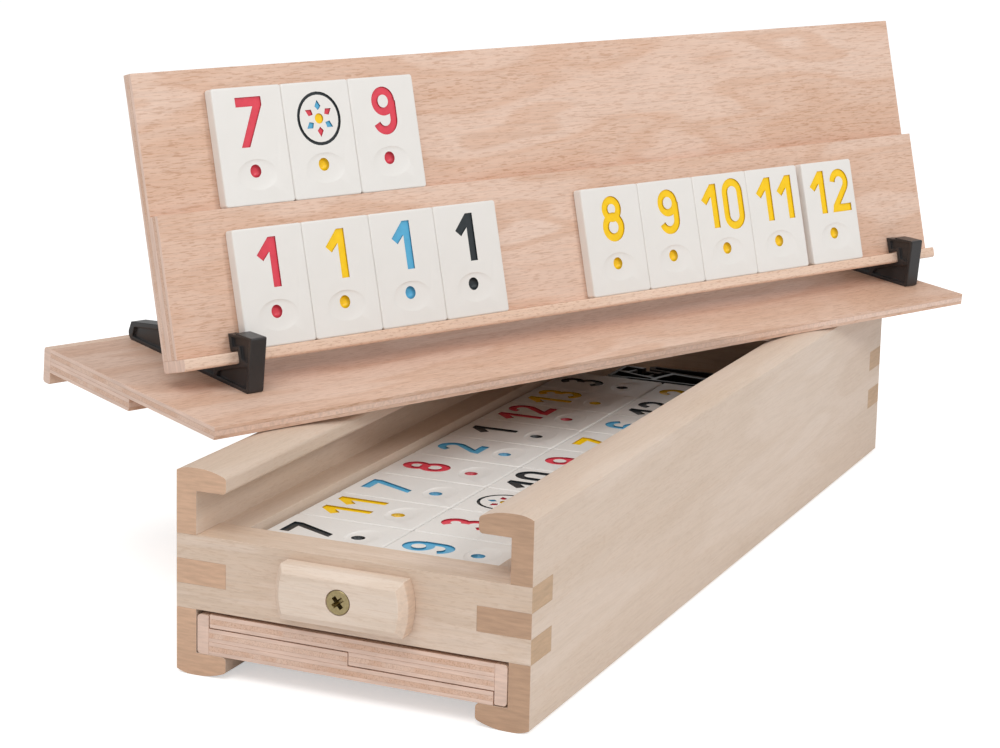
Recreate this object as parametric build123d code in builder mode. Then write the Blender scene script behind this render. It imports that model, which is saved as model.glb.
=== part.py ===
from build123d import *
import os
from math import cos, radians, sin, sqrt

# A game case for numbered tiles: two moulded side walls finger-jointed to a
# front and a rear panel, two grooves in each wall for pairs of nested tile
# racks, a turn button that locks the racks in, and two racks out in use, one
# lying across the case and one standing on it in clip-on feet.
# Millimetres. The case front is at y = 0 and its rest plane at z = 0 while the
# pieces are built; at the end everything moves so that the origin is the
# bottom centre of the whole arrangement's bounding box.

os.makedirs("parts", exist_ok=True)

# ---- driving dimensions ----------------------------------------------------
case_width = 112.0
case_length = 354.0
case_height = 62.7
wall_thickness = 16.4
groove_wall = 6.6          # wall left between a groove and the outer face
web_height = 22.4          # full-thickness middle of the wall, and the panels
groove_height = 13.3
corner_drop = 1.2          # from the crest down to the outer corner
lip_drop = 2.05            # from the crest down to the lip's inner corner
crest_inset = 5.0          # outer face to the flat land along the crest
crest_land = 2.0
lip_round = 1.3
panel_thickness = 14.8
floor_thickness = 3.7

button_length = 42.0
button_height = 16.6
button_thickness = 7.0
button_bevel = 2.3
button_raise = 0.3         # its screw above the panel's middle
screw_radius = 2.0
screw_length = 13.0
screw_head_radius = 3.75
screw_head_rim = 0.4
running_gap = 0.05

ply = 4.0                  # each board of a rack
ledge_height = 3.8
ledge_round = 1.1
ledge_top_round = 0.5
rack_side_gap = 0.3
rack_end_gap = 0.1         # lower racks' ends inside the case's ends
step_seam = 0.2            # between the step boards of a nested pair
nest_gap = 0.3             # between the two racks of a nested pair

tile_width = 27.3
tile_height = 38.0
tile_thickness = 4.0
tile_corner = 2.6
tile_pitch = 27.4
tile_rows = 9
tile_layers = 4
tile_front_gap = 1.1
column_gap = 0.4
layer_gap = 0.02

lying_overhang = 88.76     # lying rack's front left corner, out from the case
lying_setback = 67.9       # and back from the case front
lying_angle = 65.44        # its length, from the case's width direction
corner_rest_gap = 0.3      # lying rack above the crests, at its front corner
rest_gap = 0.05            # and at its other two rests

stand_along = 9.06         # standing rack's back corner, along the lying rack
stand_across = 54.67
stand_turn = 0.994
stand_lean = 19.14
stand_lift = 4.52

foot_width = 5.8
foot_arm_width = 3.2       # the hook's, which leaves room for the first tile
foot_front = 17.2          # ahead of the rack's back bottom edge
foot_back = 52.0
foot_top = 14.4
foot_arm_top = 10.0        # up the board, over the ledge
foot_hook_gap = 0.35
foot_slot_gap = 0.3
foot_web = 1.6
foot_web_inset = 0.9
foot_flange = 1.3
foot_support = 11.0        # height of the rear support up the rack's back
foot_tail = 1.6            # height of the leg's top edge at its rear end
foot_round = 1.0
foot_tail_round = 2.4
foot_left = 20.2
foot_right = 331.9
spare_gap = 0.4
spare_layers = 2
spare_rows = 2

upper_tiles = 26.63
left_tiles = 24.4
right_tiles = 173.5
last_tile = 285.9
rack_tile_pitch = 27.42

# ---- derived sizes ---------------------------------------------------------
half_width = case_width / 2
middle = case_height / 2
web_top = middle + web_height / 2
web_bottom = middle - web_height / 2
upper_groove_top = web_top + groove_height
lower_groove_bottom = web_bottom - groove_height
finger = web_height / 3
web_face = half_width - wall_thickness
slot_face = half_width - groove_wall
rack_length = case_length - 2 * rack_end_gap
rack_height = 2 * slot_face - ledge_height - 3 * rack_side_gap
step_height = slot_face - rack_side_gap - step_seam / 2
lying_x = -half_width - lying_overhang
floor_top = web_bottom + floor_thickness
button_level = middle + button_raise
button_axis = Axis((0, 0, button_level), (0, 1, 0))
screw_head_depth = screw_head_radius - screw_radius + screw_head_rim

pieces = {}


def unit(vector):
    return vector.normalized()


# ---- side walls ------------------------------------------------------------
def build_wall(side):
    """A moulded wall; side is -1 for the left one and 1 for the right one."""

    def at(inset, height):
        return (side * (half_width - inset), height)

    def crown(inset):
        """Height of the crown above the crest's far side, at an inset."""
        if inset < crest_inset:
            reach, run, drop = crest_inset, crest_inset - inset, corner_drop
        else:
            start = crest_inset + crest_land
            reach, run, drop = wall_thickness - start, inset - start, lip_drop
        radius = (reach**2 + drop**2) / (2 * drop)
        return radius - sqrt(radius**2 - run**2)

    lip_start = crest_inset + crest_land
    lip_mid = (lip_start + wall_thickness) / 2
    corner_mid = crest_inset / 2
    with BuildPart() as wall:
        with BuildSketch(Plane.XZ.offset(-case_length)) as profile:
            with BuildLine():
                ThreePointArc(
                    at(0, case_height - corner_drop),
                    at(corner_mid, case_height - crown(corner_mid)),
                    at(crest_inset, case_height),
                )
                Line(at(crest_inset, case_height), at(lip_start, case_height))
                ThreePointArc(
                    at(lip_start, case_height),
                    at(lip_mid, case_height - crown(lip_mid)),
                    at(wall_thickness, case_height - lip_drop),
                )
                Polyline(
                    at(wall_thickness, case_height - lip_drop),
                    at(wall_thickness, upper_groove_top),
                    at(groove_wall, upper_groove_top),
                    at(groove_wall, web_top),
                    at(wall_thickness, web_top),
                    at(wall_thickness, web_bottom),
                    at(groove_wall, web_bottom),
                    at(groove_wall, lower_groove_bottom),
                    at(wall_thickness, lower_groove_bottom),
                    at(wall_thickness, lip_drop),
                )
                ThreePointArc(
                    at(wall_thickness, lip_drop),
                    at(lip_mid, crown(lip_mid)),
                    at(lip_start, 0),
                )
                Line(at(lip_start, 0), at(crest_inset, 0))
                ThreePointArc(
                    at(crest_inset, 0),
                    at(corner_mid, crown(corner_mid)),
                    at(0, corner_drop),
                )
                Line(at(0, corner_drop), at(0, case_height - corner_drop))
            make_face()
            inner = profile.vertices().group_by(Axis.X)[0 if side > 0 else -1]
            lips = inner.sort_by(Axis.Y)[:2] + inner.sort_by(Axis.Y)[-2:]
            fillet(lips, radius=lip_round)
        extrude(amount=case_length)
        # sockets for the panels' fingers, at both ends
        socket_x = side * (half_width - wall_thickness / 2)
        for end_y in (panel_thickness / 2, case_length - panel_thickness / 2):
            for level in (middle - finger, middle + finger):
                with Locations((socket_x, end_y, level)):
                    Box(wall_thickness, panel_thickness, finger, mode=Mode.SUBTRACT)
    return wall


pieces["left_wall"] = build_wall(-1)
pieces["right_wall"] = build_wall(1)


# ---- end panels, with the fingers that show on the outer faces --------------
def build_panel(centre_y, pilot_depth=0.0):
    """A panel; the front one has a pilot hole for the turn button's screw."""
    with BuildPart() as panel:
        with Locations((0, centre_y, middle)):
            Box(case_width, panel_thickness, web_height)
        for side in (-1, 1):
            with Locations((side * (half_width - wall_thickness / 2), centre_y, middle)):
                Box(wall_thickness, panel_thickness, finger, mode=Mode.SUBTRACT)
        if pilot_depth:
            with BuildSketch(Plane.XZ):
                with Locations((0, button_level)):
                    Circle(screw_radius)
            extrude(amount=-pilot_depth, mode=Mode.SUBTRACT)
    return panel


pieces["front_panel"] = build_panel(panel_thickness / 2, screw_length - button_thickness)
pieces["rear_panel"] = build_panel(case_length - panel_thickness / 2)

with BuildPart() as floor_board:
    with BuildSketch(Plane.XY.offset(web_bottom)):
        with Locations((0, case_length / 2)):
            Rectangle(2 * web_face, case_length - 2 * panel_thickness)
    extrude(amount=floor_thickness)
pieces["floor_board"] = floor_board


# ---- turn button and its screw ---------------------------------------------
screw_section = Plane(
    origin=(0, -button_thickness, button_level), x_dir=(0, 1, 0), z_dir=(1, 0, 0)
)

with BuildPart() as turn_button:
    with BuildSketch(Plane.XZ):
        with Locations((0, button_level)):
            Circle(button_length / 2)
            Rectangle(button_length, button_height, mode=Mode.INTERSECT)
    extrude(amount=button_thickness)
    chamfer(turn_button.faces().sort_by(Axis.Y)[0].edges(), length=button_bevel)
    with BuildSketch(Plane.XZ):
        with Locations((0, button_level)):
            Circle(screw_radius + running_gap)
    extrude(amount=button_thickness, mode=Mode.SUBTRACT)
    with BuildSketch(screw_section):
        with BuildLine():
            Polyline(
                (0, 0),
                (0, screw_head_radius + running_gap),
                (screw_head_rim + running_gap, screw_head_radius + running_gap),
                (screw_head_depth + running_gap, screw_radius + running_gap),
                (screw_head_depth + running_gap, 0),
                close=True,
            )
        make_face()
    revolve(axis=button_axis, mode=Mode.SUBTRACT)
pieces["turn_button"] = turn_button

with BuildPart() as button_screw:
    with BuildSketch(screw_section):
        with BuildLine():
            Polyline(
                (0, 0),
                (0, screw_head_radius),
                (screw_head_rim, screw_head_radius),
                (screw_head_depth, screw_radius),
                (screw_length, screw_radius),
                (screw_length, 0),
                close=True,
            )
        make_face()
    revolve(axis=button_axis)
pieces["button_screw"] = button_screw


# ---- racks: back board, step board and ledge strip, on a rack's own plane ----
# The plane's x runs along the rack, its y up the board from the ledge strip,
# and its z out of the face that the tiles lean on.
def build_board(plane, low, high, level):
    with BuildPart() as board:
        with BuildSketch(plane.offset(level)):
            with Locations((rack_length / 2, (low + high) / 2)):
                Rectangle(rack_length, high - low)
        extrude(amount=ply)
    return board


def build_ledge(plane):
    end_plane = Plane(origin=plane.origin, x_dir=plane.y_dir, z_dir=plane.x_dir)
    with BuildPart() as strip:
        with BuildSketch(end_plane) as section:
            with Locations((ledge_height / 2, 3 * ply / 2)):
                Rectangle(ledge_height, 3 * ply)
            fillet(section.vertices().group_by(Axis.X)[0], radius=ledge_round)
            top = section.vertices().group_by(Axis.Y)[-1].sort_by(Axis.X)
            fillet(top[-1], radius=ledge_top_round)
        extrude(amount=rack_length)
    return strip


def build_rack(name, plane):
    pieces[name + "_back_board"] = build_board(plane, ledge_height, rack_height, 0)
    pieces[name + "_step_board"] = build_board(plane, ledge_height, step_height, ply)
    pieces[name + "_ledge_strip"] = build_ledge(plane)


# the pair in the lower grooves, nested face to face
nest_x = slot_face - rack_side_gap
nest_y = rack_end_gap + rack_length
build_rack(
    "bottom_rack",
    Plane(origin=(-nest_x, nest_y, lower_groove_bottom), x_dir=(0, -1, 0), z_dir=(0, 0, 1)),
)
build_rack(
    "middle_rack",
    Plane(
        origin=(nest_x, nest_y, lower_groove_bottom + 3 * ply + nest_gap),
        x_dir=(0, -1, 0),
        z_dir=(0, 0, -1),
    ),
)

# The lying rack rests face down on the two crests: its ledge strip on the left
# wall, and its thin upper edge on the left wall's front and on the right wall.
along_x = cos(radians(lying_angle))
along_y = sin(radians(lying_angle))


def crossing(up_board, x):
    """Where a line along the lying rack, this far up it, passes over x."""
    along = (x - lying_x - along_y * up_board) / along_x
    return lying_setback + along_y * along - along_x * up_board


crest_x = half_width - crest_inset - crest_land / 2
strip_y = crossing(ledge_height, -crest_x)
corner_y = crossing(rack_height, -crest_x)
right_y = crossing(rack_height, crest_x)
slope_y = (2 * ply + rest_gap - corner_rest_gap) / (strip_y - corner_y)
slope_x = (rest_gap - corner_rest_gap - slope_y * (right_y - corner_y)) / (2 * crest_x)


def lying_height(x, y):
    base = case_height + corner_rest_gap + ply
    return base + slope_x * (x + crest_x) + slope_y * (y - corner_y)


up = unit(Vector(-slope_x, -slope_y, 1))
lying_u = unit(Vector(along_x, along_y, slope_x * along_x + slope_y * along_y))
lying_v = lying_u.cross(up)
lying_origin = Vector(lying_x, lying_setback, lying_height(lying_x, lying_setback))
lying_plane = Plane(origin=lying_origin, x_dir=lying_u, z_dir=-up)
build_rack("lying_rack", lying_plane)

# The standing rack, leaning back on the lying one in its two feet.
turn = radians(stand_turn)
lean = radians(stand_lean)
stand_u = lying_u * cos(turn) + lying_v * sin(turn)
stand_back = up.cross(stand_u)
stand_v = up * cos(lean) + stand_back * sin(lean)
stand_w = stand_u.cross(stand_v)
stand_origin = lying_origin + lying_u * stand_along + lying_v * stand_across + up * stand_lift
stand_plane = Plane(origin=stand_origin, x_dir=stand_u, z_dir=stand_w)
build_rack("standing_rack", stand_plane)


# ---- clip-on foot: x runs back, y up and z along the rack --------------------
def on_foot(up_board, out):
    """A point of the leaning rack's section, in the foot's x and y."""
    return (
        up_board * sin(lean) - out * cos(lean),
        up_board * cos(lean) + out * sin(lean),
    )


hook_out = 2 * ply + foot_hook_gap
hook_up = ledge_height + foot_hook_gap
slot_out = 3 * ply + foot_slot_gap
post_back = on_foot(foot_arm_top, slot_out)
leg = (
    on_foot(0, slot_out),
    on_foot(0, 0),
    on_foot(foot_support, 0),
    (foot_back - foot_tail_round, foot_tail),
    (foot_back, -stand_lift),
)


def foot_outline(rear_of_post):
    """The foot's outline, with the given points between the post's top and the slot."""
    with BuildSketch(Plane.XY) as outline:
        with BuildLine():
            Polyline(
                (-foot_front, -stand_lift),
                (-foot_front, foot_top),
                *rear_of_post,
                *leg,
                close=True,
            )
        make_face()
        ends = outline.vertices().group_by(Axis.X)
        fillet(ends[0], radius=foot_round)
        fillet(outline.vertices().group_by(Axis.X)[-1], radius=foot_tail_round)
    return outline


# The leg and post are as wide as the foot; the hook's arm is narrower.
with BuildPart() as foot:
    add(foot_outline([(post_back[0], foot_top)]))
    extrude(amount=foot_width)
    arm = [
        on_foot(foot_arm_top, hook_out),
        on_foot(hook_up, hook_out),
        on_foot(hook_up, slot_out),
    ]
    add(foot_outline(arm))
    extrude(amount=foot_arm_width)
    # flanged edges stand out from a thin web on both sides
    for level, depth in (
        (0, foot_web_inset),
        (foot_width, foot_web_inset + foot_web - foot_width),
    ):
        with BuildSketch(Plane.XY.offset(level)):
            with BuildLine():
                Polyline(
                    on_foot(hook_up + foot_flange, hook_out + foot_flange),
                    on_foot(foot_arm_top - foot_flange, hook_out + foot_flange),
                    (-foot_front + foot_flange, foot_top - foot_flange),
                    (-foot_front + foot_flange, 5.2),
                    on_foot(foot_flange, slot_out + foot_flange),
                    on_foot(hook_up + foot_flange, slot_out + foot_flange),
                    close=True,
                )
            make_face()
            with BuildLine():
                Polyline(
                    (-foot_front + foot_flange, 3.9),
                    (-foot_front + foot_flange, -stand_lift + foot_flange),
                    (0.4, -stand_lift + foot_flange),
                    (-0.8, -foot_flange),
                    on_foot(-foot_flange, slot_out),
                    close=True,
                )
            make_face()
            with BuildLine():
                Polyline(
                    (1.9, -stand_lift + foot_flange),
                    (1.9, -0.7),
                    (5.0, foot_support - 2.6),
                    (foot_back - 4.2, 0.2),
                    (foot_back - 3.4, -stand_lift + foot_flange),
                    close=True,
                )
            make_face()
        extrude(amount=depth, mode=Mode.SUBTRACT)

for name, along in (("left_foot", foot_left), ("right_foot", foot_right)):
    foot_plane = Plane(
        origin=stand_origin + stand_u * along, x_dir=stand_back, z_dir=stand_u
    )
    pieces[name] = foot.part.moved(foot_plane.location)


# ---- tiles -------------------------------------------------------------------
# A tile's x is its width, y its height and z the numbered face's direction.
with BuildPart() as tile:
    with BuildSketch(Plane.XY):
        with Locations((tile_width / 2, tile_height / 2)):
            RectangleRounded(tile_width, tile_height, tile_corner)
    extrude(amount=tile_thickness)

with BuildPart() as plain_tile:
    with BuildSketch(Plane.XY) as blank:
        with Locations((tile_width / 2, tile_height / 2)):
            Rectangle(tile_width, tile_height)
        chamfer(blank.vertices(), length=tile_corner / 2)
    extrude(amount=tile_thickness)


def rack_tile(along, low, level):
    place = Plane(
        origin=stand_origin + stand_u * along + stand_v * low + stand_w * level,
        x_dir=stand_u,
        z_dir=stand_w,
    )
    return tile.part.moved(place.location)


for row, start, low, level, count in (
    ("upper", upper_tiles, step_height, ply, 3),
    ("left", left_tiles, ledge_height, 2 * ply, 4),
    ("right", right_tiles, ledge_height, 2 * ply, 4),
    ("last", last_tile, ledge_height, 2 * ply, 1),
):
    for number in range(count):
        along = start + number * rack_tile_pitch
        pieces[f"{row}_tile_{number + 1}"] = rack_tile(along, low, level)


def tiles_in_case(shape, columns, layers):
    """Copies lying face up, their tops to the left, in rows from the front."""
    copies = []
    for column in columns:
        right_edge = -web_face + 1.0 + tile_height + column * (tile_height + column_gap)
        for layer in layers:
            height = floor_top + layer * (tile_thickness + layer_gap)
            for row in range(tile_rows):
                row_y = panel_thickness + tile_front_gap + row * tile_pitch
                place = Plane(
                    origin=(right_edge, row_y, height), x_dir=(0, 1, 0), z_dir=(0, 0, 1)
                )
                copies.append(shape.moved(place.location))
    return Compound(children=copies)


pieces["tile_stack"] = tiles_in_case(plain_tile.part, (0, 1), range(tile_layers - 1))
pieces["left_tile_column"] = tiles_in_case(tile.part, (0,), (tile_layers - 1,))
pieces["right_tile_column"] = tiles_in_case(tile.part, (1,), (tile_layers - 1,))

# spare feet, lying on their sides behind the tiles, the last two head to tail
spare_x = web_face - spare_gap - foot_back
spare_y = panel_thickness + tile_front_gap + tile_rows * tile_pitch + stand_lift + spare_gap
spare_pitch = foot_top + stand_lift + spare_gap
spares = []
for layer in range(spare_layers):
    for row in range(spare_rows):
        spot = (
            spare_x,
            spare_y + row * spare_pitch,
            floor_top + layer * (foot_width + layer_gap),
        )
        spares.append(foot.part.moved(Location(spot)))
last_y = spare_y + spare_rows * spare_pitch
spares.append(foot.part.moved(Location((spare_x, last_y, floor_top))))
turned = Location(
    (spare_x + foot_back - foot_front, last_y + foot_top + stand_lift, floor_top), (0, 0, 180)
)
spares.append(foot.part.moved(turned))
pieces["spare_feet"] = Compound(children=spares)

# ---- origin at the arrangement's bottom centre, then export ------------------
shapes = {name: getattr(piece, "part", piece) for name, piece in pieces.items()}
whole = Compound(children=[Compound(children=[shape.moved(Location())]) for shape in shapes.values()])
bounds = whole.bounding_box()
centre = Location(
    (-(bounds.min.X + bounds.max.X) / 2, -(bounds.min.Y + bounds.max.Y) / 2, -bounds.min.Z)
)
for name, shape in shapes.items():
    piece = shape.moved(centre)
    piece.label = name
    export_step(piece, f"parts/{name}.step")
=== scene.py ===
import math

import bmesh
import bpy
import numpy
from mathutils import Matrix, Vector


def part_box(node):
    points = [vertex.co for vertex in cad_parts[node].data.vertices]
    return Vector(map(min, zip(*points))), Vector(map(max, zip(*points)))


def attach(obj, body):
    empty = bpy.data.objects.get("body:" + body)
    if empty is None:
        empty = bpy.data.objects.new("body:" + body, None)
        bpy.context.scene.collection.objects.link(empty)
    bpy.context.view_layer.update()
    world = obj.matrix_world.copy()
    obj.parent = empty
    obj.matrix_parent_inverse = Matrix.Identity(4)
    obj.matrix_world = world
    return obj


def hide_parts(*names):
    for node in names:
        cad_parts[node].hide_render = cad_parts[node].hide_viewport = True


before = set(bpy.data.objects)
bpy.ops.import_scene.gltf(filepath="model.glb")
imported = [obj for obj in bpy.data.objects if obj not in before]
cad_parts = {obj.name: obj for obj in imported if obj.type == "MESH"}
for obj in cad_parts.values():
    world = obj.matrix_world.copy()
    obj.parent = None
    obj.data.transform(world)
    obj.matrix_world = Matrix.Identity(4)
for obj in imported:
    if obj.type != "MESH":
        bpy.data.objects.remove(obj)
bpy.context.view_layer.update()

MM = 0.001

# ---- side walls ----
# Two lengths of pale, close-grained hardwood, moulded along their length with two grooves and
# rounded crests, then finger-jointed and glued to the end panels, sanded and matt lacquered.

wall_round = 0.12 * MM
wall_figure = (160, 22)
hardwood_flecks = (3, 0.5)
wall_pale = "#E0CDBD"
wall_deep = "#D5BFAB"
wall_fleck = "#C6A990"
# The walls' end grain is darker than their faces. On the left wall it is painted lighter as painted
# light, and on the right wall darker as painted shade.
left_wall_end_lit = "#D4AE91"
right_wall_end_shaded = "#BF9B7F"


def linear(hex_colour):
    """An sRGB hex colour as the linear values that a shader works in."""
    parts = [int(hex_colour[i : i + 2], 16) / 255 for i in (1, 3, 5)]
    return [p / 12.92 if p <= 0.04045 else ((p + 0.055) / 1.055) ** 2.4 for p in parts] + [1]


def add(tree, kind, inputs, **settings):
    """Adds one node with its settings; each input is a value or a socket to link.

    By number, MapRange takes a value, its range and the new range, and MixRGB a share and two
    colours.
    """
    made = tree.nodes.new("ShaderNode" + kind)
    for name, value in settings.items():
        setattr(made, name, value)
    for name, value in inputs.items():
        if isinstance(value, bpy.types.NodeSocket):
            tree.links.new(value, made.inputs[name])
        else:
            made.inputs[name].default_value = value
    return made


def new_material(name):
    """An empty material: its node tree and its surface shader."""
    material = bpy.data.materials.new(name)
    material.use_nodes = True
    return material, material.node_tree, material.node_tree.nodes["Principled BSDF"]


def wood_figure(tree, figure_mm, fibre_mm, fleck_mm):
    """What a planed face shows along x: growth figure, fibres and short ray flecks.

    Each size is (length along the grain, width across it) in mm. Fibres and flecks are drawn
    wider than the real ones, so that they show. Also gives the piece's own coordinates and how
    far a face looks along x, y and z.
    """
    ring_turns = 42
    seat = add(tree, "TexCoord", {})
    chance = add(tree, "ObjectInfo", {}).outputs["Random"]
    place = add(
        tree, "VectorMath", {0: (3.1, 1.7, 2.3), 1: chance, 2: seat.outputs["Object"]},
        operation="MULTIPLY_ADD",
    ).outputs[0]
    facing = add(tree, "VectorMath", {0: seat.outputs["Normal"]}, operation="ABSOLUTE")
    fields = []
    for long, wide in (figure_mm, fibre_mm, fleck_mm):
        scale = (1 / (long * MM), 1 / (wide * MM), 1 / (wide * MM))
        stretched = add(tree, "Mapping", {"Vector": place, "Scale": scale})
        noise = {"Vector": stretched.outputs[0], "Scale": 1, "Detail": 2, "Roughness": 0.55}
        fields.append(add(tree, "TexNoise", noise).outputs["Fac"])
    turns = add(tree, "Math", {0: fields[0], 1: ring_turns}, operation="MULTIPLY").outputs[0]
    lines = add(tree, "Math", {0: turns}, operation="SINE").outputs[0]
    rings = add(tree, "MapRange", {0: lines, 1: -0.2, 2: 1}, interpolation_type="SMOOTHSTEP")
    flecks = add(tree, "MapRange", {0: fields[2], 1: 0.54, 2: 0.63})
    sides = add(tree, "SeparateXYZ", {0: facing.outputs[0]})
    return {
        "place": place,
        "own": seat.outputs["Object"],
        "tone": fields[0],
        "rings": rings.outputs[0],
        "fibres": fields[1],
        "flecks": flecks.outputs[0],
        "sides": sides,
    }


def figured(tree, wood, pale, deep, ring_share):
    """The wood's broad bands between two colours, with its growth rings over them."""
    spread = add(tree, "MapRange", {0: wood["tone"], 1: 0.3, 2: 0.7}).outputs[0]
    broad = add(tree, "MixRGB", {0: spread, 1: linear(pale), 2: linear(deep)}).outputs[0]
    faint = add(tree, "Math", {0: wood["rings"], 1: ring_share}, operation="MULTIPLY").outputs[0]
    return add(tree, "MixRGB", {0: faint, 1: broad, 2: linear(deep)}).outputs[0]


def finish_wood(tree, shader, wood, colour, endness, end_colour, end_mm, calm, fleck_colour):
    """Fibres, flecks and end grain over the colour, with the sheen and bump of sanded wood.

    end_mm is the grain of a cut end across y and z; calm, from 0 to 1, weakens the fibres.
    """
    scale = (1 / MM, 1 / (end_mm[0] * MM), 1 / (end_mm[1] * MM))
    stretched = add(tree, "Mapping", {"Vector": wood["place"], "Scale": scale}).outputs[0]
    pores = {"Vector": stretched, "Scale": 1, "Detail": 3, "Roughness": 0.55}
    pores = add(tree, "TexNoise", pores).outputs["Fac"]
    weakest, strongest = 0.9 + 0.07 * calm, 1.06 - 0.04 * calm
    worn = {0: wood["fibres"], 1: 0.3, 2: 0.7, 3: weakest, 4: strongest}
    worn = add(tree, "MapRange", worn).outputs[0]
    fibrous = add(tree, "MixRGB", {0: 1, 1: colour, 2: worn}, blend_type="MULTIPLY").outputs[0]
    sparse, dense = 0.4 * (1 - calm), 0.64 - 0.44 * calm
    patchy = {0: wood["tone"], 1: 0.35, 2: 0.65, 3: sparse, 4: dense}
    patchy = add(tree, "MapRange", patchy).outputs[0]
    faint = add(tree, "Math", {0: wood["flecks"], 1: patchy}, operation="MULTIPLY").outputs[0]
    flecked = add(tree, "MixRGB", {0: faint, 1: fibrous, 2: linear(fleck_colour)}).outputs[0]
    streaks = add(tree, "MapRange", {0: wood["fibres"], 1: 0.62, 2: 0.72, 4: 0.35}).outputs[0]
    flecked = add(tree, "MixRGB", {0: streaks, 1: flecked, 2: linear(fleck_colour)}).outputs[0]
    dotted = add(tree, "MapRange", {0: pores, 1: 0.3, 2: 0.7, 3: 0.88, 4: 1.1}).outputs[0]
    ends = {0: 1, 1: linear(end_colour), 2: dotted}
    ends = add(tree, "MixRGB", ends, blend_type="MULTIPLY").outputs[0]
    cut = add(tree, "MixRGB", {0: endness, 1: flecked, 2: ends}).outputs[0]
    tree.links.new(cut, shader.inputs["Base Color"])
    sheen = add(tree, "MapRange", {0: wood["fibres"], 1: 0.3, 2: 0.7, 3: 0.56, 4: 0.44}).outputs[0]
    tree.links.new(sheen, shader.inputs["Roughness"])
    grooves = add(tree, "Math", {0: wood["fibres"], 1: wood["flecks"]}, operation="SUBTRACT")
    raised = {"Height": grooves.outputs[0], "Strength": 0.3, "Distance": 0.06 * MM}
    tree.links.new(add(tree, "Bump", raised).outputs[0], shader.inputs["Normal"])


def solid_wood(name, pale, deep, end_colour, fleck_colour, figure_mm, flecks_mm, calm=0.8):
    """Planed solid wood whose grain runs along the piece's x."""
    fibre_mm, end_mm, ring_share = (18, 0.7), (7, 0.9), 0.4
    material, tree, shader = new_material(name)
    wood = wood_figure(tree, figure_mm, fibre_mm, flecks_mm)
    ringed = figured(tree, wood, pale, deep, ring_share)
    ends = add(tree, "MapRange", {0: wood["sides"].outputs[0], 1: 0.55, 2: 0.8}).outputs[0]
    finish_wood(tree, shader, wood, ringed, ends, end_colour, end_mm, calm, fleck_colour)
    return material


def sanded_piece(node, place, edge_round, material, body):
    """The piece's packed outline laid along its own axes, its sharp edges sanded round."""
    weld = 0.002 * MM
    flat, sharp_turn, crease = (math.radians(angle) for angle in (0.5, 32, 50))
    work = bmesh.new()
    work.from_mesh(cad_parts[node].data)
    bmesh.ops.remove_doubles(work, verts=work.verts, dist=weld)
    bmesh.ops.dissolve_limit(work, angle_limit=flat, verts=work.verts, edges=work.edges)
    work.transform(place.inverted())
    work.normal_update()
    sharp = [e for e in work.edges if e.is_manifold and e.calc_face_angle() > sharp_turn]
    bmesh.ops.bevel(
        work, geom=sharp, offset=edge_round, segments=2, profile=0.5, affect="EDGES",
        clamp_overlap=True,
    )
    mesh = bpy.data.meshes.new(node)
    work.to_mesh(mesh)
    work.free()
    mesh.shade_smooth()
    mesh.set_sharp_from_angle(angle=crease)
    mesh.materials.append(material)
    piece = bpy.data.objects.new(node + "_piece", mesh)
    piece.matrix_world = place
    bpy.context.scene.collection.objects.link(piece)
    piece.modifiers.new("even faces", "WEIGHTED_NORMAL").keep_sharp = True
    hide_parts(node)
    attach(piece, body)
    return piece


# Pale hardwood, sanded and matt: calm bands, fine fibres and darker, speckled end grain.
# Each wall's end grain colour holds painted light on the left wall and painted shade on the right.
for node, end_colour in (("left_wall", left_wall_end_lit), ("right_wall", right_wall_end_shaded)):
    wall_wood = solid_wood(
        "matt_lacquered_hardwood_" + node, wall_pale, wall_deep, end_colour, wall_fleck,
        wall_figure, hardwood_flecks,
    )
    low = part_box(node)[0]
    along_wall = Matrix.Translation(low) @ Matrix.Rotation(math.radians(90), 4, "Z")
    sanded_piece(node, along_wall, wall_round, wall_wood, "case")

# ---- end panels ----
# The case's two end boards, of the same hardwood with its grain across the case. Their fingers
# pass through the walls, so their end grain shows on the walls' outer faces.

panel_round = 0.12 * MM
panel_pale = "#E6D1C0"
panel_deep = "#D6BDA6"
panel_end = "#C1A07F"
panel_figure = (70, 9)
panel_calm = 0.45

# Pale hardwood with its grain across the case, a little livelier in figure than the walls.
panel_wood = solid_wood(
    "matt_lacquered_hardwood_panels", panel_pale, panel_deep, panel_end, wall_fleck,
    panel_figure, hardwood_flecks, panel_calm,
)
for node in ("front_panel", "rear_panel"):
    across_case = Matrix.Translation(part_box(node)[0])
    sanded_piece(node, across_case, panel_round, panel_wood, "case")

# ---- floor board ----
# A thin sheet of plywood that carries the tiles, fitted between the walls' thick middles.

board_round = 0.2 * MM
ply_thickness = 4 * MM
floor_pale = "#E2CBB0"
floor_deep = "#D2B594"
beech_fleck = "#B4825F"
beech_end = "#E6C8B7"
ply_glue = "#C9A48E"
core_share = 0.2
glue_share = 0.025


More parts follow.
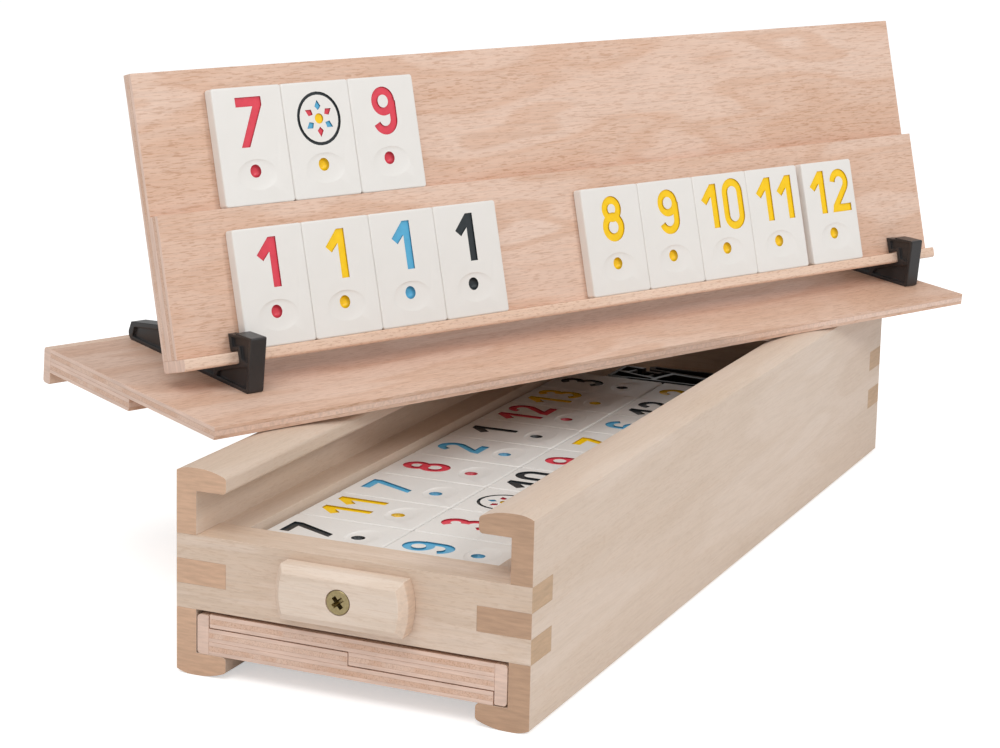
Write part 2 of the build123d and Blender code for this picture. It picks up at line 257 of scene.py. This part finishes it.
def beech_plywood(name, pale, deep):
    """Three-ply beech with its face grain along x and its thickness along z."""
    figure_mm, fibre_mm, fleck_mm, end_mm = (130, 26), (14, 0.7), (4, 0.38), (9, 0.9)
    ring_share, calm = 0.7, 0.2
    material, tree, shader = new_material(name)
    wood = wood_figure(tree, figure_mm, fibre_mm, fleck_mm)
    along_x, along_y, along_z = wood["sides"].outputs
    ringed = figured(tree, wood, pale, deep, ring_share)
    level = add(tree, "SeparateXYZ", {0: wood["own"]}).outputs[2]
    layers = add(tree, "Math", {0: level, 1: 1 / ply_thickness}, operation="MULTIPLY").outputs[0]
    within = add(tree, "Math", {0: layers}, operation="FRACT").outputs[0]
    core = {0: within, 1: 0.5, 2: core_share}
    core = add(tree, "Math", core, operation="COMPARE").outputs[0]
    outer = add(tree, "Math", {0: 1, 1: core}, operation="SUBTRACT").outputs[0]
    at_ends = add(tree, "Math", {0: along_x, 1: outer}, operation="MULTIPLY").outputs[0]
    at_sides = add(tree, "Math", {0: along_y, 1: core}, operation="MULTIPLY").outputs[0]
    endness = add(tree, "Math", {0: at_ends, 1: at_sides}, operation="MAXIMUM").outputs[0]
    off_middle = add(tree, "Math", {0: within, 1: 0.5}, operation="SUBTRACT").outputs[0]
    off_middle = add(tree, "Math", {0: off_middle}, operation="ABSOLUTE").outputs[0]
    glue = {0: off_middle, 1: core_share, 2: glue_share}
    glue = add(tree, "Math", glue, operation="COMPARE").outputs[0]
    on_edge = add(tree, "Math", {0: along_z, 1: 0.5}, operation="LESS_THAN").outputs[0]
    glue_line = add(tree, "Math", {0: glue, 1: on_edge}, operation="MULTIPLY").outputs[0]
    glued = add(tree, "MixRGB", {0: glue_line, 1: ringed, 2: linear(ply_glue)}).outputs[0]
    finish_wood(tree, shader, wood, glued, endness, beech_end, end_mm, calm, beech_fleck)
    return material


# Plain sanded plywood, yellower and duller than the racks' faces.
floor_ply = beech_plywood("sanded_plywood_floor", floor_pale, floor_deep)
floor_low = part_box("floor_board")[0]
along_floor = Matrix.Translation(floor_low) @ Matrix.Rotation(math.radians(90), 4, "Z")
sanded_piece("floor_board", along_floor, board_round, floor_ply, "case")

# ---- turn button and its screw ----
# A flat hardwood button, its long sides straight, its ends round and its front edges bevelled.
# One countersunk screw with a cross recess holds it, loose enough to turn, to the front panel.

button_round = 0.9 * MM
button_pale = "#ECDACA"
button_deep = "#E1CBB7"
button_end = "#DFC4AE"
button_figure = (60, 7)
screw_dark = "#8A7A56"
screw_bright = "#C4B488"
screw_play = 0.15 * MM
screw_radius = 2.0 * MM
screw_head_rim = 0.4 * MM
screw_dome = 0.12 * MM
screw_edge = 0.15 * MM
screw_steps = 64
screw_crease = math.radians(20)
recess_arm = 2.5 * MM
recess_half_width = 0.85 * MM
recess_depth = 2.6 * MM
recess_taper = 0.35
recess_turn = math.radians(40)
cut_clearance = 0.5 * MM

# The same pale hardwood, a shade lighter, its edges sanded rounder than the case's.
button_wood = solid_wood(
    "matt_lacquered_hardwood_button", button_pale, button_deep, button_end, wall_fleck,
    button_figure, hardwood_flecks,
)
button_place = Matrix.Translation(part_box("turn_button")[0])
sanded_piece("turn_button", button_place, button_round, button_wood, "turn_button")


def cutting_solid(loops, depth, clearance, material, taper=1):
    """A solid to cut with, from an outline and any inner one, narrowing with depth by taper."""
    work = bmesh.new()
    rows = []
    for loop in loops:
        top = [work.verts.new((x, y, clearance)) for x, y in loop]
        bottom = [work.verts.new((x * taper, y * taper, -depth)) for x, y in loop]
        rows.append((top, bottom))
        for i in range(len(loop)):
            work.faces.new((top[i - 1], top[i], bottom[i], bottom[i - 1]))
    for side in (0, 1):
        if len(rows) == 1:
            work.faces.new(rows[0][side])
        else:
            outer, inner = rows[0][side], rows[1][side]
            for i in range(len(outer)):
                work.faces.new((outer[i - 1], outer[i], inner[i], inner[i - 1]))
    bmesh.ops.recalc_face_normals(work, faces=work.faces)
    mesh = bpy.data.meshes.new("cutting_solid")
    work.to_mesh(mesh)
    work.free()
    mesh.materials.append(material)
    return mesh


def engrave(piece, cutters):
    """Cuts each solid out of the piece; the cut faces keep the solid's own finish."""
    helpers = []
    for mesh in cutters:
        helper = bpy.data.objects.new("cutter", mesh)
        bpy.context.scene.collection.objects.link(helper)
        cut = piece.modifiers.new("cut", "BOOLEAN")
        cut.operation = "DIFFERENCE"
        cut.solver = "EXACT"
        cut.material_mode = "TRANSFER"
        cut.object = helper
        helpers.append(helper)
    bpy.context.view_layer.update()
    finished = bpy.data.meshes.new_from_object(
        piece.evaluated_get(bpy.context.evaluated_depsgraph_get())
    )
    piece.modifiers.clear()
    piece.data = finished
    for helper in helpers:
        bpy.data.objects.remove(helper)
    return piece


def linked_object(name, mesh, place):
    """A new object of that mesh, in place."""
    made = bpy.data.objects.new(name, mesh)
    made.matrix_world = place
    bpy.context.scene.collection.objects.link(made)
    return made


# Yellow-passivated steel: a dull brassy metal with faint streaks and a cloudy sheen.
screw_metal, tree, shader = new_material("yellow_passivated_steel")
streaks = add(tree, "TexCoord", {}).outputs["Object"]
streaks = {"Vector": streaks, "Scale": 1 / (0.9 * MM), "Detail": 4}
streaks = add(tree, "TexNoise", streaks).outputs["Fac"]
plated = {0: streaks, 1: linear(screw_dark), 2: linear(screw_bright)}
plated = add(tree, "MixRGB", plated).outputs[0]
tree.links.new(plated, shader.inputs["Base Color"])
cloudy = add(tree, "MapRange", {0: streaks, 1: 0.3, 2: 0.7, 3: 0.28, 4: 0.45}).outputs[0]
tree.links.new(cloudy, shader.inputs["Roughness"])
dents = add(tree, "Bump", {"Height": streaks, "Strength": 0.2, "Distance": 0.05 * MM}).outputs[0]
tree.links.new(dents, shader.inputs["Normal"])
shader.inputs["Metallic"].default_value = 1

screw_low, screw_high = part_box("button_screw")
screw_head_radius = (screw_high.x - screw_low.x) / 2 - screw_play
screw_length = screw_high.y - screw_low.y
head_depth = screw_head_radius - screw_radius + screw_head_rim
screw_profile = [
    (0, 0),
    (screw_head_radius * 0.6, -screw_dome * 0.4),
    (screw_head_radius - screw_edge, -screw_dome),
    (screw_head_radius, -screw_dome - screw_edge),
    (screw_head_radius, -screw_head_rim),
    (screw_radius, -head_depth),
    (screw_radius, -screw_length),
    (0, -screw_length),
]
work = bmesh.new()
points = [work.verts.new((r, 0, z)) for r, z in screw_profile]
lines = [work.edges.new(pair) for pair in zip(points, points[1:])]
bmesh.ops.spin(
    work, geom=points + lines, cent=(0, 0, 0), axis=(0, 0, 1), angle=math.tau,
    steps=screw_steps, use_merge=True,
)
bmesh.ops.remove_doubles(work, verts=work.verts, dist=0.001 * MM)
bmesh.ops.recalc_face_normals(work, faces=work.faces)
screw_mesh = bpy.data.meshes.new("button_screw")
work.to_mesh(screw_mesh)
work.free()
screw_mesh.materials.append(screw_metal)
screw_centre = (screw_low + screw_high) / 2
screw_centre.y = screw_low.y
facing_front = Matrix.Translation(screw_centre) @ Matrix.Rotation(math.radians(90), 4, "X")
screw = linked_object("cross_recess_screw", screw_mesh, Matrix.Identity(4))
arm, half = recess_arm, recess_half_width
cross = [
    (half, half), (arm, half), (arm, -half), (half, -half), (half, -arm), (-half, -arm),
    (-half, -half), (-arm, -half), (-arm, half), (-half, half), (-half, arm), (half, arm),
]
cosine, sine = math.cos(recess_turn), math.sin(recess_turn)
cross = [(x * cosine - y * sine, x * sine + y * cosine) for x, y in cross]
engrave(screw, [cutting_solid([cross], recess_depth, MM, screw_metal, recess_taper)])
screw.matrix_world = facing_front
screw.data.shade_smooth()
screw.data.set_sharp_from_angle(angle=screw_crease)
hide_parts("button_screw")
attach(screw, "case")

# ---- racks ----
# Each rack is three pieces of beech glued in steps: a back board and a lower step board of
# plywood, and a solid strip along the bottom that holds the lower row of tiles.

rack_round = 0.16 * MM
strip_round = 0.15 * MM
racks = ("bottom_rack", "middle_rack", "lying_rack", "standing_rack")
beech_pale = "#EACDBB"
beech_deep = "#DCB59C"
strip_pale = "#F2D8C4"
strip_deep = "#E8C6AE"
strip_figure = (150, 12)
strip_flecks = (2.4, 0.5)
strip_calm = 0.4


def node_points(node):
    """The corners of a piece as it was packed."""
    return numpy.array([v.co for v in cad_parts[node].data.vertices])


def rack_axes(rack):
    """Along the rack, up its boards from the strip, and out of its face, at its lower corner."""
    board, strip = node_points(rack + "_back_board"), node_points(rack + "_ledge_strip")
    corners = numpy.unique(board.round(6), axis=0)
    along, up, _ = numpy.linalg.svd(corners - corners.mean(0))[2]
    along = along if along[1] > 0 else -along
    up = up if up @ (board.mean(0) - strip.mean(0)) > 0 else -up
    out = numpy.cross(along, up)
    axes = numpy.array([along, up, out])
    origin = numpy.minimum((board @ axes.T).min(0), (strip @ axes.T).min(0)) @ axes
    place = Matrix([list(row) for row in axes]).transposed().to_4x4()
    place.translation = origin
    return place


# Lacquered beech plywood: pinkish tan faces with short dark flecks, and striped edges.
rack_ply = beech_plywood("lacquered_beech_plywood", beech_pale, beech_deep)
# Solid beech for the strips: the same flecks, straighter and a little paler.
strip_beech = solid_wood(
    "lacquered_solid_beech", strip_pale, strip_deep, beech_end, beech_fleck,
    strip_figure, strip_flecks, strip_calm,
)
places = {}
for rack in racks:
    places[rack] = rack_axes(rack)
    for board in ("_back_board", "_step_board"):
        sanded_piece(rack + board, places[rack], rack_round, rack_ply, rack)
    strip = rack + "_ledge_strip"
    sanded_piece(strip, places[rack], strip_round, strip_beech, rack)

# ---- tiles ----
# Moulded tiles of hard off-white plastic with softened edges, a shallow finger hollow and a
# round pit. Numeral and pit are sunk into the face and filled with enamel of one colour.

tile_corner = 1.0 * MM
tile_edge = 0.55 * MM
edge_steps = 4
corner_steps = 5
tile_crease = math.radians(9)
plastic_low = "#E7E4DF"
plastic_high = "#EFECE8"
enamel_colours = {"red": "#E24254", "yellow": "#FFD000", "blue": "#58B0D8", "black": "#262D31"}
# How dark the painted shade on the engraving's walls makes the enamel.
painted_wall_shade = 0.45
engraving = 0.45 * MM
stroke_step = 0.004 * MM
back_play = 0.05 * MM

# On the tile's face, in mm: x from the middle, y up from the lower edge.
numeral_base = 18.5
numeral_height = 16.1
stroke_width = 2.9
hollow_centre = (0.2, 9.6)
hollow_half_axes = (7.8, 5.0)
hollow_depth = 0.34
hollow_lean = 3.0
pit_centre = (-0.3, 10.8)
pit_radius = 2.25
pit_depth = 1.7
joker_centre = (0, 25.8)
joker_ring = 8.3
joker_line = 1.05
ray_heel = 2.7
ray_waist = 4.2
ray_tip = 6.1
ray_spread = 17
disc_radius = 1.7

# Hard moulded plastic: warm off-white, softly glossy, with the faint ripple of moulding.
tile_plastic, tree, shader = new_material("moulded_off_white_plastic")
spots = add(tree, "TexCoord", {}).outputs["Object"]
cloud = {"Vector": spots, "Scale": 1 / (14 * MM), "Detail": 2}
cloud = add(tree, "TexNoise", cloud).outputs["Fac"]
tint = add(tree, "MixRGB", {0: cloud, 1: linear(plastic_low), 2: linear(plastic_high)}).outputs[0]
tree.links.new(tint, shader.inputs["Base Color"])
ripple = {"Vector": spots, "Scale": 1 / (0.7 * MM), "Detail": 3}
ripple = add(tree, "TexNoise", ripple).outputs["Fac"]
satin = add(tree, "MapRange", {0: ripple, 1: 0.3, 2: 0.7, 3: 0.3, 4: 0.4}).outputs[0]
tree.links.new(satin, shader.inputs["Roughness"])
moulded = add(tree, "Bump", {"Height": ripple, "Strength": 0.12, "Distance": 0.03 * MM}).outputs[0]
tree.links.new(moulded, shader.inputs["Normal"])
shader.inputs["IOR"].default_value = 1.52

# Baked enamel: a strong plain colour, a little uneven, with painted shade darkening it on the
# engraving's walls.
enamels = {}
for colour, value in enamel_colours.items():
    enamels[colour], tree, shader = new_material("enamel_" + colour)
    seat = add(tree, "TexCoord", {})
    pooled = {"Vector": seat.outputs["Object"], "Scale": 1 / (1.6 * MM), "Detail": 2}
    pooled = add(tree, "TexNoise", pooled).outputs["Fac"]
    pooled_and_shaded = add(tree, "MapRange", {0: pooled, 1: 0.3, 2: 0.7, 3: 0.97, 4: 1.05}).outputs[0]
    # Painted shade: the enamel is darkened on the steep walls of the engraving, where the cut lies in
    # shadow.
    level = add(tree, "SeparateXYZ", {0: seat.outputs["Normal"]}).outputs[2]
    painted_wall_darkening = add(tree, "MapRange", {0: level, 1: 0.3, 2: 0.9, 3: painted_wall_shade, 4: 1}).outputs[0]
    pooled_and_shaded = add(tree, "Math", {0: pooled_and_shaded, 1: painted_wall_darkening}, operation="MULTIPLY").outputs[0]
    paint = {0: 1, 1: linear(value), 2: pooled_and_shaded}
    paint = add(tree, "MixRGB", paint, blend_type="MULTIPLY").outputs[0]
    tree.links.new(paint, shader.inputs["Base Color"])
    shine = add(tree, "MapRange", {0: pooled, 1: 0.3, 2: 0.7, 3: 0.3, 4: 0.42}).outputs[0]
    tree.links.new(shine, shader.inputs["Roughness"])
    uneven = {"Height": pooled, "Strength": 0.2, "Distance": 0.04 * MM}
    uneven = add(tree, "Bump", uneven).outputs[0]
    tree.links.new(uneven, shader.inputs["Normal"])


def arc(x, y, radius, start, end, steps=16):
    """Points on an arc, from start to end in degrees."""
    turns = [math.radians(start + (end - start) * i / steps) for i in range(steps + 1)]
    return [(x + radius * math.cos(t), y + radius * math.sin(t)) for t in turns]


def stroke(points, width=stroke_width):
    """The outline of a stroke of even width along the points, cut square at its ends."""
    sides = ([], [])
    for i, point in enumerate(points):
        before, after = points[max(i - 1, 0)], points[min(i + 1, len(points) - 1)]
        direction = (Vector(after) - Vector(before)).normalized()
        across = Vector((-direction.y, direction.x)) * width / 2
        sides[0].append(tuple(Vector(point) + across))
        sides[1].append(tuple(Vector(point) - across))
    return [sides[0] + sides[1][::-1]]


def ring(x, low, high, radius, width=stroke_width):
    """The outer and inner outline of a ring, stretched upwards from low to high."""
    loops = []
    for r in (radius + width / 2, radius - width / 2):
        loops.append(arc(x, high, r, 0, 180) + arc(x, low, r, 180, 360))
    return loops


def upside_down(outlines):
    """A numeral turned by half a turn about the middle of its height."""
    return [[[(-x, numeral_height - y) for x, y in loop] for loop in loops] for loops in outlines]


# The numerals' outlines, in mm from the middle of each one's foot.
nine = [
    ring(-0.15, 11.2, 11.21, 3.5, 2.7),
    stroke([(3.55, 11.2), (3.55, 8.2)] + arc(-0.15, 5.15, 3.7, 0, -160)),
]
numerals = {
    "0": [ring(0, 3.95, 12.15, 3.8)],
    "1": [[[
        (-0.3, 0), (2.75, 0), (2.75, 16.1), (-0.3, 16.1), (-5.4, 10.6), (-3.1, 8.6), (-0.3, 11.4),
    ]]],
    "2": [
        stroke(arc(0, 11.2, 3.55, 176, -36) + [(-3.2, 1.9)]),
        [[(-5.1, 0), (5.2, 0), (5.2, 2.9), (-4.4, 2.9)]],
    ],
    "3": [
        stroke(arc(-0.2, 11.6, 3.05, 152, -90)),
        stroke(arc(-0.2, 5.1, 3.65, 90, -155)),
    ],
    "6": upside_down(nine),
    "7": [[[
        (-5, 16.1), (5.2, 16.1), (5.2, 13.3), (-1.4, 0), (-4.7, 0), (1.5, 13), (-5, 13),
    ]]],
    "8": [ring(-0.2, 11.5, 11.51, 3.2, 2.8), ring(-0.2, 5.15, 5.16, 3.7)],
    "9": nine,
}
numeral_places = {"11": (-4.1, 6.9)}
two_places = (-5.2, 5.6)


def layered_solid(name, outlines, material):
    """A closed solid through outlines of as many points each, from its top down."""
    work = bmesh.new()
    loops = [[work.verts.new(point) for point in outline] for outline in outlines]
    for upper, lower in zip(loops, loops[1:]):
        for i in range(len(upper)):
            work.faces.new((upper[i - 1], upper[i], lower[i], lower[i - 1]))
    work.faces.new(loops[0])
    work.faces.new(loops[-1])
    bmesh.ops.recalc_face_normals(work, faces=work.faces)
    mesh = bpy.data.meshes.new(name)
    work.to_mesh(mesh)
    work.free()
    mesh.materials.append(material)
    return mesh


def hollow_solid(centre, half_axes, depth, lean, material):
    """Cuts a round hollow, flat towards its middle, its deepest point moved up by the lean."""
    steps, rows, above = 48, 10, 0.6
    shares = [1] + [1 - (i / rows) ** 2 for i in range(rows)]
    levels = [above] + [-depth * (1 - share**4) for share in shares[1:]]
    outlines = []
    for share, level in zip(shares, levels):
        outline = []
        for i in range(steps):
            turn = math.tau * i / steps
            x = centre[0] + half_axes[0] * share * math.cos(turn)
            y = centre[1] + half_axes[1] * share * math.sin(turn) + lean * (1 - share)
            outline.append((x * MM, y * MM, level * MM))
        outlines.append(outline)
    return layered_solid("hollow_solid", outlines, material)


def tile_blank(width, height, thickness):
    """The tile's body: x across, y up from its lower edge, its face at z = 0."""
    outlines = []
    across, up = width / 2 - tile_corner, height - tile_corner
    corners = (
        (across, tile_corner, 270), (across, up, 0), (-across, up, 90),
        (-across, tile_corner, 180),
    )
    quarter = [math.radians(90 * i / edge_steps) for i in range(edge_steps + 1)]
    front = [(tile_edge * (1 - math.sin(t)), tile_edge * (math.cos(t) - 1)) for t in quarter]
    back = [(inset, back_play - thickness - level) for inset, level in reversed(front)]
    for inset, level in front + back:
        outline = []
        for x, y, start in corners:
            for px, py in arc(x, y, tile_corner - inset, start, start + 90, corner_steps):
                outline.append((px, py, level))
        outlines.append(outline)
    return layered_solid("tile", outlines, tile_plastic)


def numeral_cutters(number, colour):
    """The solids that sink a tile's numeral into its face.

    Each further stroke of a digit goes a touch deeper, so that no two floors lie in one plane.
    """
    shifts = (0,) if len(number) == 1 else numeral_places.get(number, two_places)
    cutters = []
    for digit, shift in zip(number, shifts):
        for order, loops in enumerate(numerals[digit]):
            moved = [[((x + shift) * MM, (y + numeral_base) * MM) for x, y in loop] for loop in loops]
            depth = engraving + order * stroke_step
            cutters.append(cutting_solid(moved, depth, cut_clearance, enamels[colour]))
    return cutters


def joker_cutters():
    """A plain emblem for the wild tile: a ring round a sun of six rays and a disc."""
    x, y = joker_centre
    shapes = [(ring(x, y, y + 0.01, joker_ring, joker_line), "black")]
    for i in range(6):
        turn = 60 * i + 30
        tip, heel = (arc(x, y, r, turn, turn, 1)[0] for r in (ray_tip, ray_heel))
        left, right = arc(x, y, ray_waist, turn - ray_spread, turn + ray_spread, 1)
        shapes.append(([[heel, right, tip, left]], "blue" if i % 2 else "red"))
    shapes.append(([arc(x, y, disc_radius, 0, 345, 23)], "yellow"))
    cutters = []
    for loops, colour in shapes:
        moved = [[(px * MM, py * MM) for px, py in loop] for loop in loops]
        cutters.append(cutting_solid(moved, engraving, cut_clearance, enamels[colour]))
    return cutters


def make_tile(name, number, colour, place, size, body):
    """One finished tile. place has x across the tile, y up it and z out of its face."""
    tile = linked_object(name, tile_blank(*size), Matrix.Identity(4))
    pit_enamel = enamels["yellow" if number == "joker" else colour]
    cutters = [
        hollow_solid(hollow_centre, hollow_half_axes, hollow_depth, hollow_lean, tile_plastic),
        hollow_solid(pit_centre, (pit_radius, pit_radius), pit_depth, 0, pit_enamel),
    ]
    cutters += joker_cutters() if number == "joker" else numeral_cutters(number, colour)
    engrave(tile, cutters)
    tile.data.shade_smooth()
    tile.data.set_sharp_from_angle(angle=tile_crease)
    tile.matrix_world = place
    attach(tile, body)
    return tile


rack_rows = {
    "upper_tile_": (("7", "red"), ("joker", "black"), ("9", "red")),
    "left_tile_": (("1", "red"), ("1", "yellow"), ("1", "blue"), ("1", "black")),
    "right_tile_": (("8", "yellow"), ("9", "yellow"), ("10", "yellow"), ("11", "yellow")),
    "last_tile_": (("12", "yellow"),),
}
rack_place = places["standing_rack"]
rack_turn = numpy.array(rack_place.to_3x3())
for row, values in rack_rows.items():
    for i, (number, colour) in enumerate(values):
        node = row + str(i + 1)
        spots = (node_points(node) - numpy.array(rack_place.translation)) @ rack_turn
        low, high = spots.min(0), spots.max(0)
        size = [float(extent) for extent in high - low]
        tile_width = size[0]
        seat = Matrix.Translation(Vector(((low[0] + high[0]) / 2, low[1], high[2])))
        tile = make_tile(node + "_piece", number, colour, rack_place @ seat, size, node)
        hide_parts(node)

# The tiles in the case lie on their backs in two columns, lower edges towards the right wall.
column_rows = {
    "left_tile_column": (
        ("7", "black"), ("11", "yellow"), ("7", "blue"), ("8", "red"), ("2", "blue"),
        ("1", "black"), ("12", "red"), ("13", "yellow"), ("3", "black"),
    ),
    "right_tile_column": (
        ("9", "blue"), ("3", "red"), ("joker", "black"), ("10", "black"), ("9", "red"),
        ("7", "yellow"), ("6", "blue"), ("12", "black"), ("2", "yellow"),
    ),
}
across_walls = Matrix.Rotation(math.radians(90), 4, "Z")
for column, values in column_rows.items():
    low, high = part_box(column)
    pitch = (high.y - low.y - tile_width) / (len(values) - 1)
    case_size = (tile_width, high.x - low.x, high.z - low.z)
    for i, (number, colour) in enumerate(values):
        middle = low.y + tile_width / 2 + i * pitch
        spot = Matrix.Translation(Vector((high.x, middle, high.z))) @ across_walls
        tile = make_tile(f"{column}_{i + 1}", number, colour, spot, case_size, column)
        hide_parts(column)

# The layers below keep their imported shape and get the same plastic.
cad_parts["tile_stack"].data.materials.clear()
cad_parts["tile_stack"].data.materials.append(tile_plastic)

# ---- clip-on feet ----
# Black moulded feet of I section that hook over the strip of the standing rack and lean its
# back on a long leg. Spare ones lie flat behind the tiles.

foot_round = 0.55 * MM
foot_glint = 0.7 * MM
foot_black = "#222122"
foot_grey = "#343233"
post_head = 2.2 * MM
head_squeeze = 0.4

# Black ABS with a spark-eroded texture: a satin black that greys where light grazes it. The
# texture is drawn coarser than the real one, so that it shows.
foot_abs, tree, shader = new_material("textured_black_abs")
seat = add(tree, "TexCoord", {}).outputs["Object"]
grit = {"Vector": seat, "Scale": 1 / (0.35 * MM), "Detail": 3}
grit = add(tree, "TexNoise", grit).outputs["Fac"]
dusty = add(tree, "MixRGB", {0: grit, 1: linear(foot_black), 2: linear(foot_grey)}).outputs[0]
tree.links.new(dusty, shader.inputs["Base Color"])
satin = add(tree, "MapRange", {0: grit, 1: 0.3, 2: 0.7, 3: 0.28, 4: 0.42}).outputs[0]
tree.links.new(satin, shader.inputs["Roughness"])
rounded = add(tree, "Bevel", {"Radius": foot_glint}, samples=6).outputs[0]
eroded = {"Height": grit, "Strength": 0.3, "Distance": 0.05 * MM, "Normal": rounded}
eroded = add(tree, "Bump", eroded).outputs[0]
tree.links.new(eroded, shader.inputs["Normal"])
# The head of the post, above its hook, is pressed lower than it was packed.
for node in ("left_foot", "right_foot"):
    piece = sanded_piece(node, places["standing_rack"], foot_round, foot_abs, node)
    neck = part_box(node)[1].z - post_head
    for vertex in piece.data.vertices:
        spot = piece.matrix_world @ vertex.co
        spot.z = min(spot.z, neck + (spot.z - neck) * head_squeeze)
        vertex.co = piece.matrix_world.inverted() @ spot
sanded_piece("spare_feet", Matrix.Identity(4), foot_round, foot_abs, "spare_feet")

# ---- camera, floor and light ----
# A plain white studio: an even surround, one soft lamp high on the right, and a broader one
# high in front that lights the racks' boards and the tiles.

film_width = 36
focal_px, image_px = 2656.4, (1000, 748)
centre_px = (348.6, 291.7)
case_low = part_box("left_wall")[0]
case_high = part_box("right_wall")[1]
case_middle = (case_low.x + case_high.x) / 2
eye_from_case = Vector((317.445, -646.137, 262.374)) * MM
eye_turn, eye_dip, eye_roll = (math.radians(a) for a in (26.242, 11.2286, 0.6839))

camera_data = bpy.data.cameras.new("camera")
camera_data.sensor_width = film_width
camera_data.lens = focal_px / image_px[0] * film_width
camera_data.shift_x = (image_px[0] / 2 - centre_px[0]) / image_px[0]
camera_data.shift_y = (centre_px[1] - image_px[1] / 2) / image_px[0]
camera_data.clip_start = 10 * MM
camera = bpy.data.objects.new("camera", camera_data)
bpy.context.scene.collection.objects.link(camera)
camera.matrix_world = (
    Matrix.Translation(Vector((case_middle, case_low.y, 0)) + eye_from_case)
    @ Matrix.Rotation(eye_turn, 4, "Z")
    @ Matrix.Rotation(math.radians(90) - eye_dip, 4, "X")
    @ Matrix.Rotation(eye_roll, 4, "Z")
)
bpy.context.scene.camera = camera

floor_half = 6
floor_glow = 0.5
floor_colour = "#F4F4F4"

# Matt white paint without gloss. It glows for the camera alone, so that it reads as white and
# still keeps the shadow.
floor_white, tree, shader = new_material("matt_white_floor")
shader.inputs["Base Color"].default_value = linear(floor_colour)
shader.inputs["Roughness"].default_value = 1
shader.inputs["Specular IOR Level"].default_value = 0
shader.inputs["Emission Color"].default_value = (1, 1, 1, 1)
seen = add(tree, "LightPath", {}).outputs["Is Camera Ray"]
glow = add(tree, "Math", {0: seen, 1: floor_glow}, operation="MULTIPLY").outputs[0]
tree.links.new(glow, shader.inputs["Emission Strength"])
floor_signs = ((-1, -1), (1, -1), (1, 1), (-1, 1))
floor_corners = [(x * floor_half, y * floor_half, 0) for x, y in floor_signs]
floor_mesh = bpy.data.meshes.new("floor")
floor_mesh.from_pydata(floor_corners, [], [(0, 1, 2, 3)])
floor_mesh.materials.append(floor_white)
linked_object("floor", floor_mesh, Matrix.Identity(4))


def soft_lamp(name, watts, width, spot, target):
    """A square soft lamp that looks at a point."""
    lamp = bpy.data.lights.new(name, "AREA")
    lamp.energy = watts
    lamp.size = width
    made = linked_object(name, lamp, Matrix.Identity(4))
    away = Vector(spot) - Vector(target)
    aim = away.to_track_quat("Z", "Y").to_matrix().to_4x4()
    made.matrix_world = Matrix.Translation(spot) @ aim


lamp_target = (0, 0, 0.05)
soft_lamp("right_lamp", 5.4, 0.4, (1.22, -0.1, 1.03), lamp_target)
soft_lamp("front_lamp", 7.3, 0.8, (0.1, -0.95, 1.28), lamp_target)

surround_light = 0.56
surround = bpy.data.worlds.new("white_surround")
surround.use_nodes = True
tree = surround.node_tree
seen = add(tree, "LightPath", {}).outputs["Is Camera Ray"]
level = add(tree, "MapRange", {0: seen, 3: surround_light, 4: 1}).outputs[0]
tree.links.new(level, tree.nodes["Background"].inputs["Strength"])
tree.nodes["Background"].inputs["Color"].default_value = (1, 1, 1, 1)
bpy.context.scene.world = surround
bpy.context.scene.view_settings.view_transform = "Standard"
